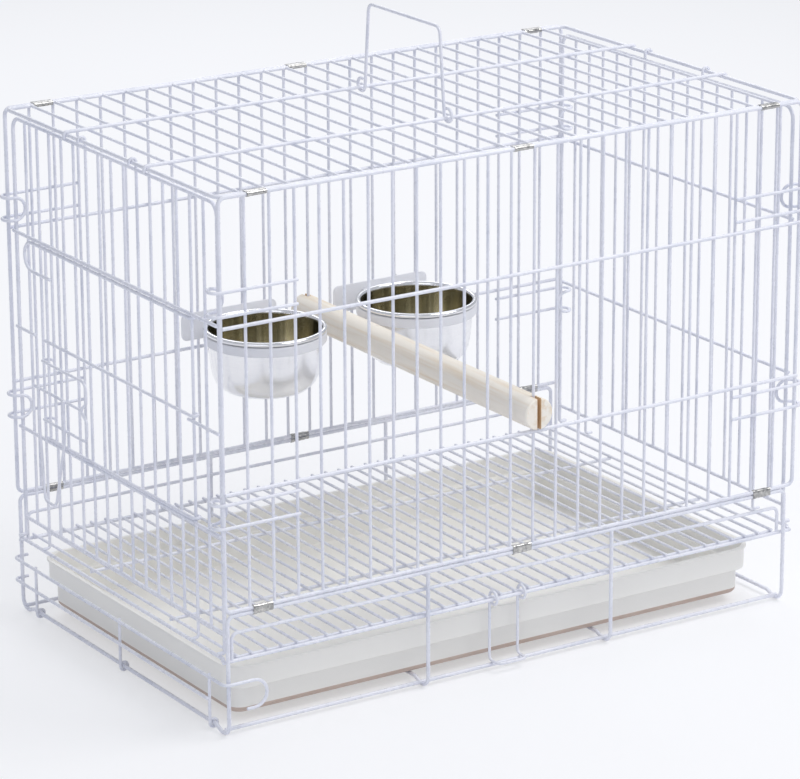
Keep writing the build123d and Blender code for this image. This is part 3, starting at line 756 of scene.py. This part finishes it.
def clip(mesh, x, y, z, span, upright, seam):
    """One band along X, with pressed grooves near its ends and its seam on the side given."""
    ring = bmesh.ops.create_circle(
        mesh, segments=24, radius=clip_outer - clip_wall / 2,
        matrix=Matrix.Translation((x - clip_long / 2, y, z)) @ Matrix.Rotation(pi / 2, 4, "Y"),
    )["verts"]
    centre = Vector((x, y, z))
    long_axis = Vector((0, 0, 1)) if upright else Vector((0, 1, 0))
    for vert in ring:
        out = (vert.co - centre).dot(long_axis)
        if abs(out) > 0.01:
            vert.co += long_axis * (span / 2 if out > 0 else -span / 2)
    edges = list({e for v in ring for e in v.link_edges})
    made = []
    for step, swell in ((0.6, 1.03), (1.8, 1.0), (0.8, 0.93), (0.8, 1.0), (clip_long - 8.0, 1.0),
                        (0.8, 0.93), (0.8, 1.0), (1.8, 1.03), (0.6, 1.0)):
        out = bmesh.ops.extrude_edge_only(mesh, edges=edges)["geom"]
        ring = [g for g in out if isinstance(g, bmesh.types.BMVert)]
        edges = [g for g in out if isinstance(g, bmesh.types.BMEdge) and set(g.verts) <= set(ring)]
        made += [g for g in out if isinstance(g, bmesh.types.BMFace)]
        bmesh.ops.translate(mesh, vec=(step, 0, 0), verts=ring)
        space = Matrix.Translation(-centre)
        bmesh.ops.scale(mesh, vec=(1, swell, swell), verts=ring, space=space)
    seam_at = centre + Vector(seam) * clip_outer
    geometry = made + list({e for f in made for e in f.edges}) + list({v for f in made for v in f.verts})
    for shift in (-seam_half, seam_half):
        cut = bmesh.ops.bisect_plane(
            mesh, geom=geometry, plane_co=seam_at + long_axis * shift, plane_no=long_axis, dist=0.0001,
        )
        geometry = [g for g in cut["geom"] if g.is_valid]
    slit = [
        g for g in geometry
        if isinstance(g, bmesh.types.BMFace)
        and abs((g.calc_center_median() - seam_at).dot(long_axis)) < seam_half - 0.01
        and (g.calc_center_median() - centre).dot(Vector(seam)) > 0
    ]
    bmesh.ops.delete(mesh, geom=slit, context="FACES")


for name, y, z, span, upright, seam in (
    ("clips_base_front", -156.1, 93.175, 3.35, True, (0, 1, 0)),
    ("clips_base_back", 156.1, 93.175, 3.35, True, (0, -1, 0)),
    ("clips_top_front", -154.425, 396.45, 3.35, False, (0, 0, -1)),
    ("clips_top_back", 154.425, 396.45, 3.35, False, (0, 0, -1)),
):
    clips = bmesh.new()
    for x in clip_places:
        clip(clips, x, y, z, span, upright, seam)
    bmesh.ops.recalc_face_normals(clips, faces=clips.faces)
    bmesh.ops.solidify(clips, geom=clips.faces[:], thickness=clip_wall)
    finished(clips, name + "_bands", galvanised, "galvanised_sheet", "cage", name)


# Tray. One moulding of ivory plastic: a thin flat rim, an upper wall, a step inwards and a lower
# wall with a rounded foot. It stands on the floor runs and slides out at the right end.
tray_left_x = -243.0
tray_right_x = 228.0
tray_half_y = 144.0
tray_corner = 18.0

ivory = Finish("ivory_plastic", Coat_Weight=0.15, Coat_Roughness=0.2)
clouds = ivory.noise(9.0, detail=3.0)
ivory.vary("Base Color", ivory.blend(clouds, colour(0.90, 0.88, 0.82), colour(0.94, 0.925, 0.875)))
ivory.vary("Roughness", ivory.noise(60.0) * 0.15 + 0.28)
ivory.relief(ivory.noise(900.0, detail=1.0), 0.00004)

# Painted shade: the tray's lower outside and underside are painted a cloudy warm brown, standing in for the
# shadow and warm reflected light in the gap under the tray.
painted_warm_shade = Finish("painted_shade_underside")
warm_shade_clouds = painted_warm_shade.noise(14.0, detail=4.0)
painted_warm_shade.vary("Base Color", painted_warm_shade.blend(warm_shade_clouds, colour(0.70, 0.58, 0.50), colour(0.52, 0.38, 0.31)))
painted_warm_shade.vary("Roughness", painted_warm_shade.noise(60.0) * 0.15 + 0.4)


def tray_ring(mesh, inset, z):
    """The tray's outline at one level, as a loop of edges."""
    face = bmesh.ops.create_grid(mesh, x_segments=1, y_segments=1, size=1.0)["verts"]
    half_x = (tray_right_x - tray_left_x) / 2 - inset
    bmesh.ops.scale(mesh, vec=(half_x, tray_half_y - inset, 1), verts=face)
    bmesh.ops.translate(mesh, vec=((tray_right_x + tray_left_x) / 2, 0, z), verts=face)
    rounded = bmesh.ops.bevel(
        mesh, geom=face, offset=tray_corner - inset, segments=8, profile=0.5, affect="VERTICES",
        material=-1, offset_type="OFFSET",
    )
    verts = rounded["verts"]
    faces = list({f for v in verts for f in v.link_faces})
    bmesh.ops.delete(mesh, geom=faces, context="FACES_ONLY")
    return list({e for v in verts for e in v.link_edges})


tray = bmesh.new()
tray_profile = [
    (12.5, 6.35), (9.6, 7.4), (8.0, 9.2), (7.6, 11.4), (7.5, 27.2), (7.2, 27.8), (2.1, 28.0),
    (1.6, 28.4), (1.5, 29.0), (1.5, 43.4), (1.3, 43.9), (0.3, 44.0), (0.0, 44.4), (0.0, 45.4), (0.3, 45.9),
    (0.8, 46.0), (3.0, 46.0), (3.4, 45.8), (3.6, 45.2), (3.6, 30.6), (3.9, 30.1), (9.0, 30.0), (9.4, 29.7),
    (9.6, 29.0), (9.6, 10.4), (10.4, 8.8), (12.4, 8.35),
]
rings = [tray_ring(tray, inset, z) for inset, z in tray_profile]
for first, second in zip(rings, rings[1:]):
    bmesh.ops.bridge_loops(tray, edges=first + second)
for edges in (rings[0], rings[-1]):
    bmesh.ops.contextual_create(tray, geom=edges)
tub = finished(tray, "tray_tub", ivory, "tray_plastic", "floor_tray", "tray")
tub.data.materials.append(painted_warm_shade.material)
# The faces low on the outside of the tray and under it take the painted warm shade.
for polygon in tub.data.polygons:
    if polygon.center.z < 0.0118 and polygon.normal.z < 0.05:
        polygon.material_index = 1


# Perch. A length of turned softwood dowel, sanded but bare, sawn with a slot at each end that
# straddles one upright bar, so that it rests on the lower long rails.
perch_x = 10.1
perch_z = 196.75
perch_r = 12.0
perch_seat_y = 154.65
perch_end_y = 163.75
slot_half = 1.6

bare_wood = Finish("bare_dowel_wood")
grain = bare_wood.noise(26.0, detail=6.0, stretch=(9.0, 0.35, 9.0))
bands = bare_wood.noise(7.0, detail=3.0, stretch=(6.0, 0.5, 6.0))
past_seat = (bare_wood.axis("Y") ** 2).above((perch_seat_y / 1000) ** 2, 0.0002)
off_middle = (bare_wood.axis("X") - perch_x / 1000) ** 2
# Painted shade: the faces in and beside each saw slot are painted orange-brown, standing in for the shade
# inside the narrow slot.
slot_shade_mask = past_seat * (1 - off_middle.above((slot_half * 1.15 / 1000) ** 2, 0.000002))
pale = bare_wood.blend(bands, colour(0.95, 0.91, 0.83), colour(0.90, 0.83, 0.72))
streaked = bare_wood.blend(grain.above(0.58, 0.22), pale, colour(0.84, 0.73, 0.58))
bare_wood.vary("Base Color", bare_wood.blend(slot_shade_mask * 0.9, streaked, colour(0.66, 0.42, 0.20)))
bare_wood.vary("Roughness", grain * 0.2 + 0.5)
bare_wood.relief(grain, 0.0002)

perch = bmesh.new()
turned_up = Matrix.Translation((perch_x, 0, perch_z)) @ Matrix.Rotation(pi / 2, 4, "X")
ring = bmesh.ops.create_circle(perch, segments=48, radius=perch_r, matrix=turned_up)["verts"]
middle = list({e for v in ring for e in v.link_edges})
for way in (-1, 1):
    edges = middle
    for reach in (perch_seat_y, perch_end_y - perch_seat_y - 0.8, 0.8):
        out = bmesh.ops.extrude_edge_only(perch, edges=edges)["geom"]
        ring = [g for g in out if isinstance(g, bmesh.types.BMVert)]
        edges = [g for g in out if isinstance(g, bmesh.types.BMEdge) and set(g.verts) <= set(ring)]
        bmesh.ops.translate(perch, vec=(0, way * reach, 0), verts=ring)
    rim = 1 - 0.8 / perch_r
    bmesh.ops.scale(
        perch, vec=(rim, 1, rim), verts=ring, space=Matrix.Translation((-perch_x, 0, -perch_z)),
    )
    bmesh.ops.contextual_create(perch, geom=edges)
bmesh.ops.recalc_face_normals(perch, faces=perch.faces)
dowel = finished(perch, "perch_dowel", bare_wood, "perch_wood", "perch_rod", "perch")
saw_cuts = bmesh.new()
for way in (-1, 1):
    reach = perch_end_y - perch_seat_y + 4
    place = Matrix.Translation((perch_x, way * (perch_seat_y + reach / 2), perch_z))
    bmesh.ops.create_cube(saw_cuts, size=1.0, matrix=place @ Matrix.Diagonal((2 * slot_half, reach, 30, 1)))
bmesh.ops.scale(saw_cuts, vec=(mm, mm, mm), verts=saw_cuts.verts)
blade_mesh = bpy.data.meshes.new("saw_cut")
saw_cuts.to_mesh(blade_mesh)
saw_cuts.free()
blade = bpy.data.objects.new("saw_cut", blade_mesh)
bpy.context.scene.collection.objects.link(blade)
slot_cut = dowel.modifiers.new("slots", "BOOLEAN")
slot_cut.operation = "DIFFERENCE"
slot_cut.object = blade
slot_cut.solver = "EXACT"
bpy.context.view_layer.update()
slotted = bpy.data.meshes.new_from_object(dowel.evaluated_get(bpy.context.evaluated_depsgraph_get()))
dowel.modifiers.clear()
dowel.data = slotted
bpy.data.objects.remove(blade)
slotted.shade_smooth()
slotted.set_sharp_from_angle(angle=radians(35))


# Feed cups. Spun stainless steel bowls with a rolled rim, bright outside, with a painted dark gold
# reflection and painted pale streaks inside, held by the rim in the ring of a white moulded holder.
cup_y = 96.0
cup_left_x = -66.0
cup_right_x = 73.0
inside_low_z = 163.4
inside_high_z = 209.2
floor_high_z = 166.0
rivet_size = (1.3, 3.0, 3.0, 1)

steel = Finish("stainless_outside", Metallic=1.0)
swirl = steel.noise(90.0, detail=2.0, stretch=(1.0, 1.0, 14.0))
steel.vary("Base Color", steel.blend(swirl, colour(0.86, 0.86, 0.88), colour(0.94, 0.94, 0.95)))
steel.vary("Roughness", swirl * 0.12 + 0.12)
steel.relief(swirl, 0.00002)


def steel_inside(x):
    """The inside of a cup: a painted dark gold reflection, with soft upright streaks of painted pale
    reflection round its middle.
    """
    finish = Finish("stainless_inside", Metallic=1.0)
    across = finish.axis("X") - x / 1000
    along = finish.axis("Y") - cup_y / 1000
    angle = finish.math_of("ARCTAN2", along, across)
    wave = finish.node("TexNoise", {"noise_dimensions": "1D"}, {"W": angle, "Scale": 2.6, "Detail": 3.0})
    painted_reflection_streak = Value(finish, wave.outputs[0]).above(0.52, 0.16)
    fine = finish.noise(140.0, detail=2.0, stretch=(1.0, 1.0, 10.0))
    # Painted reflection: the dark gold colour and the pale streaks stand in for the warm surroundings
    # mirrored in the steel.
    painted_gold_reflection = finish.blend(fine, colour(0.30, 0.275, 0.19), colour(0.42, 0.39, 0.28))
    finish.vary("Base Color", finish.blend(painted_reflection_streak, painted_gold_reflection, colour(0.88, 0.84, 0.70)))
    finish.vary("Roughness", fine * 0.12 + 0.14)
    return finish


def cup_profile(mesh, x, points):
    """Spin a chain of points, given as radius and height, round the cup's middle."""
    chain = [mesh.verts.new((x + r, cup_y, z)) for r, z in points]
    edges = [mesh.edges.new(pair) for pair in zip(chain, chain[1:])]
    bmesh.ops.spin(
        mesh, geom=chain + edges, cent=(x, cup_y, 0), axis=(0, 0, 1), angle=2 * pi, steps=96,
        use_merge=True, use_duplicate=False,
    )
    bmesh.ops.remove_doubles(mesh, verts=mesh.verts, dist=0.001)


outer_cup = [
    (0.0, 162.4), (26.0, 162.4), (27.5, 162.0), (30.0, 162.0), (33.2, 163.4), (36.6, 166.0), (39.4, 169.6),
    (41.2, 174.0), (42.4, 180.0), (43.3, 188.0), (44.0, 197.0), (44.5, 205.0), (44.6, 208.0),
]
rolled_rim = [
    (44.9, 208.5), (45.8, 208.15), (46.9, 208.3), (47.7, 209.1), (48.0, 210.1), (47.6, 211.1), (46.6, 211.8),
    (45.4, 211.9), (44.4, 211.3), (43.9, 210.2), (43.8, 208.6),
]
inner_cup = [
    (43.7, 207.0), (43.2, 197.0), (42.5, 188.0), (41.6, 180.2), (40.4, 174.3), (38.7, 170.2), (36.0, 166.8),
    (32.8, 164.3), (29.8, 162.9), (26.0, 163.2), (0.0, 163.2),
]
for name, body, x in (("cup_left", "left_cup", cup_left_x), ("cup_right", "right_cup", cup_right_x)):
    cup = bmesh.new()
    cup_profile(cup, x, outer_cup + rolled_rim + inner_cup)
    inside = steel_inside(x)
    piece = finished(cup, name + "_bowl", steel, "stainless", body, name)
    piece.data.materials.append(inside.material)
    for polygon in piece.data.polygons:
        outward = Vector((polygon.center.x - x / 1000, polygon.center.y - cup_y / 1000, 0))
        height = polygon.center.z / mm
        faces_in = polygon.normal.dot(outward) < 0 and inside_low_z < height < inside_high_z
        flat_floor = polygon.normal.z > 0.9 and height < floor_high_z
        polygon.material_index = 1 if faces_in or flat_floor else 0
    rivets = bmesh.new()
    for turn, reach, z in ((150, 43.1, 193.0), (-20, 43.0, 186.0)):
        facing = Matrix.Rotation(radians(turn), 4, "Z")
        head = bmesh.ops.create_uvsphere(rivets, u_segments=20, v_segments=10, radius=1.0)["verts"]
        place = Matrix.Translation((x, cup_y, z)) @ facing @ Matrix.Translation((reach, 0, 0))
        bmesh.ops.transform(rivets, verts=head, matrix=place @ Matrix.Diagonal(rivet_size))
    finished(rivets, name + "_rivets", steel, "stainless", body, name)


# Cup holders. A white moulded ring under each cup's rim, on a neck and a plate inside the back
# panel, pinched to the bars by a clamp bar outside, a round-headed bolt and a wing nut.
ring_low_z = 200.25
ring_high_z = 207.75
ring_inner = 45.35
ring_outer = 47.55
plate_front_y = 153.0
plate_back_y = 154.6
plate_z = 202.0

white_plastic = Finish("white_moulding", Roughness=0.4)
moulded = white_plastic.noise(25.0, detail=3.0)
moulded_colour = white_plastic.blend(moulded, colour(0.78, 0.79, 0.83), colour(0.84, 0.84, 0.87))
white_plastic.vary("Base Color", moulded_colour)
white_plastic.relief(white_plastic.noise(1100.0, detail=1.0), 0.00005)


def slab(mesh, x, z, wide, tall, low_y, high_y, corner):
    """A flat plate standing across Y, with rounded corners and softened edges."""
    verts = bmesh.ops.create_grid(
        mesh, x_segments=1, y_segments=1, size=0.5,
        matrix=Matrix.Translation((x, high_y, z)) @ Matrix.Rotation(pi / 2, 4, "X")
        @ Matrix.Diagonal((wide, tall, 1, 1)),
    )["verts"]
    rounded = bmesh.ops.bevel(
        mesh, geom=verts, offset=corner, segments=6, profile=0.5, affect="VERTICES", material=-1,
        offset_type="OFFSET",
    )
    faces = list({f for v in rounded["verts"] for f in v.link_faces})
    out = bmesh.ops.extrude_face_region(mesh, geom=faces)["geom"]
    bmesh.ops.translate(
        mesh, vec=(0, low_y - high_y, 0), verts=[g for g in out if isinstance(g, bmesh.types.BMVert)],
    )
    top_faces = [g for g in out if isinstance(g, bmesh.types.BMFace)]
    rims = list({e for f in top_faces + faces if f.is_valid for e in f.edges})
    bmesh.ops.bevel(
        mesh, geom=rims, offset=0.3, segments=2, profile=0.5, affect="EDGES", material=-1,
        offset_type="OFFSET",
    )


inner_edge = 0.4
outer_edge = 0.5
for side_name, x in (("left", cup_left_x), ("right", cup_right_x)):
    holder = bmesh.new()
    section = [
        (ring_inner, ring_low_z + inner_edge), (ring_inner + inner_edge, ring_low_z),
        (ring_outer - outer_edge, ring_low_z), (ring_outer, ring_low_z + outer_edge),
        (ring_outer, ring_high_z - outer_edge), (ring_outer - outer_edge, ring_high_z),
        (ring_inner + inner_edge, ring_high_z), (ring_inner, ring_high_z - inner_edge),
        (ring_inner, ring_low_z + inner_edge),
    ]
    cup_profile(holder, x, section)
    slab(holder, x, plate_z, 82, 22, plate_front_y, plate_back_y, 5)
    slab(holder, x, (ring_low_z + ring_high_z) / 2, 30, 7.5, cup_y + 44.3, plate_front_y + 0.4, 1.2)
    node = "cup_holder_" + side_name
    finished(holder, node + "_ring", white_plastic, "holder_plastic", "cage", node)


# Clamp bars, bolts and wing nuts. Each holder's plate is pinched from outside by a short white
# bar. The bolt has a round head inside, and the cast nut two wings to turn it by.
zinc = Finish("zinc_plate", Metallic=1.0)
zinc_spots = zinc.noise(300.0, detail=3.0)
zinc.vary("Base Color", zinc.blend(zinc_spots, colour(0.50, 0.50, 0.50), colour(0.74, 0.74, 0.72)))
zinc.vary("Roughness", zinc_spots * 0.2 + 0.25)
zinc.relief(zinc_spots, 0.00006)


def lathe_y(mesh, x, z, points):
    """Spin a chain of points, given as radius and Y, round an axis along Y."""
    chain = [mesh.verts.new((x + r, y, z)) for r, y in points]
    edges = [mesh.edges.new(pair) for pair in zip(chain, chain[1:])]
    bmesh.ops.spin(
        mesh, geom=chain + edges, cent=(x, 0, z), axis=(0, 1, 0), angle=2 * pi, steps=32,
        use_merge=True, use_duplicate=False,
    )
    bmesh.ops.remove_doubles(mesh, verts=mesh.verts, dist=0.001)


thread = [(0.0, 153.0), (2.0, 153.0)]
turn_y = 159.5
while turn_y < 167.2:
    thread += [(2.0, turn_y), (1.7, turn_y + 0.35)]
    turn_y += 0.7
thread += [(1.6, 167.6), (1.2, 168.0), (0.0, 168.0)]
head = [(0.0, 151.2), (1.8, 151.25), (3.0, 151.7), (3.6, 152.5), (3.6, 153.0), (0.0, 153.0)]
for side_name, x in (("left", -40.4), ("right", 101.0)):
    bar = bmesh.new()
    slab(bar, x, plate_z, 44, 18, 157.6, 159.2, 5)
    node = "clamp_bar_" + side_name
    finished(bar, node + "_plate", white_plastic, "holder_plastic", "cage", node)
    bolt = bmesh.new()
    lathe_y(bolt, x, plate_z, head)
    lathe_y(bolt, x, plate_z, thread)
    finished(bolt, "clamp_bolt_" + side_name + "_screw", zinc, "zinc", "cage", "clamp_bolt_" + side_name)
    nut = bmesh.new()
    lathe_y(nut, x, plate_z, [
        (2.05, 159.55), (3.7, 159.55), (4.0, 159.85), (3.6, 163.6), (3.2, 164.4), (2.8, 164.55),
        (2.05, 164.55), (2.05, 159.55),
    ])
    for turn in (123, 303):
        lean_out = Matrix.Translation((x, 161.3, plate_z)) @ Matrix.Rotation(-radians(turn), 4, "Y")
        wing = bmesh.ops.create_uvsphere(nut, u_segments=16, v_segments=10, radius=1.0)["verts"]
        bmesh.ops.transform(
            nut, verts=wing,
            matrix=lean_out @ Matrix.Translation((9.2, 0, 0)) @ Matrix.Diagonal((6.3, 1.7, 0.9, 1)),
        )
    body = side_name + "_nut"
    finished(nut, "wing_nut_" + side_name + "_casting", zinc, "zinc", body, "wing_nut_" + side_name)


# Photo set: a pale floor that keeps the soft shadow, a white world behind it, and large soft lamps.
floor_mesh = bmesh.new()
floor_place = Matrix.Translation((0, 0, -0.0005))
bmesh.ops.create_circle(floor_mesh, cap_ends=True, segments=96, radius=6.0, matrix=floor_place)
floor_data = bpy.data.meshes.new("studio_floor")
floor_mesh.to_mesh(floor_data)
floor_mesh.free()
floor = bpy.data.objects.new("studio_floor", floor_data)
bpy.context.scene.collection.objects.link(floor)
floor_finish = Finish("studio_floor", Roughness=0.9, Specular_IOR_Level=0.0)
floor_clouds = floor_finish.noise(0.8, detail=1.0)
floor_colour = floor_finish.blend(floor_clouds, colour(0.90, 0.91, 0.96), colour(0.92, 0.93, 0.97))
floor_finish.vary("Base Color", floor_colour)
floor_rays = floor_finish.node("LightPath")
camera_ray = Value(floor_finish, floor_rays.outputs["Is Camera Ray"])
seen = camera_ray + Value(floor_finish, floor_rays.outputs["Is Glossy Ray"])
glow = floor_finish.node("Emission", inputs={"Color": colour(1.0, 1.0, 1.0), "Strength": 1.0})
lit = floor_finish.node(
    "MixShader", inputs={0: seen * 0.5, 1: floor_finish.shader.outputs[0], 2: glow.outputs[0]},
)
floor_finish.tree.links.new(lit.outputs[0], floor_finish.tree.nodes["Material Output"].inputs[0])
floor_data.materials.append(floor_finish.material)

world = bpy.data.worlds.new("studio")
bpy.context.scene.world = world
world.use_nodes = True
sky = world.node_tree
rays = sky.nodes.new("ShaderNodeLightPath")
plain = sky.nodes["Background"]
plain.inputs[0].default_value = (0.90, 0.93, 1.0, 1.0)
plain.inputs[1].default_value = 0.5
white = sky.nodes.new("ShaderNodeBackground")
white.inputs[0].default_value = (1.0, 1.0, 1.0, 1.0)
mix = sky.nodes.new("ShaderNodeMixShader")
sky.links.new(rays.outputs["Is Camera Ray"], mix.inputs[0])
sky.links.new(plain.outputs[0], mix.inputs[1])
sky.links.new(white.outputs[0], mix.inputs[2])
sky.links.new(mix.outputs[0], sky.nodes["World Output"].inputs[0])


def lamp(name, place, aim, wide, power, tint):
    """A square soft box."""
    light = bpy.data.lights.new(name, "AREA")
    light.shape = "SQUARE"
    light.size = wide
    light.energy = power
    light.color = tint
    box = bpy.data.objects.new(name, light)
    bpy.context.scene.collection.objects.link(box)
    box.location = place
    box.rotation_euler = (Vector(aim) - Vector(place)).to_track_quat("-Z", "Y").to_euler()


lamp("key_box", (1.0, -0.9, 2.1), (0, 0, 0.15), 1.2, 27.0, (1.0, 0.99, 0.97))
lamp("fill_box", (-1.7, -1.5, 1.3), (0, 0, 0.2), 1.6, 8.0, (0.95, 0.96, 1.0))
lamp("back_box", (0.9, 1.8, 1.7), (0, 0, 0.2), 1.6, 15.0, (1.0, 1.0, 1.0))

camera_data = bpy.data.cameras.new("photo_camera")
camera = bpy.data.objects.new("photo_camera", camera_data)
bpy.context.scene.collection.objects.link(camera)
bpy.context.scene.camera = camera
turn_z = radians(-32.85)
tilt = radians(17.71)
roll = radians(-0.25)
distance = 3.034
back = Vector((sin(turn_z) * cos(tilt), -cos(turn_z) * cos(tilt), sin(tilt)))
right = Vector((cos(turn_z), sin(turn_z), 0))
up = back.cross(right)
spot = Vector((0, 0, 0.2)) + back * distance + right * -0.004 + up * -0.0247
facing = Matrix((right, up, back)).transposed().to_4x4()
camera.matrix_world = Matrix.Translation(spot) @ facing @ Matrix.Rotation(roll, 4, "Z")
camera_data.sensor_fit = "HORIZONTAL"
camera_data.sensor_width = 36.0
camera_data.lens = 3997.0 / 800 * 36.0
camera_data.clip_end = 50.0

bpy.context.scene.view_settings.view_transform = "Standard"
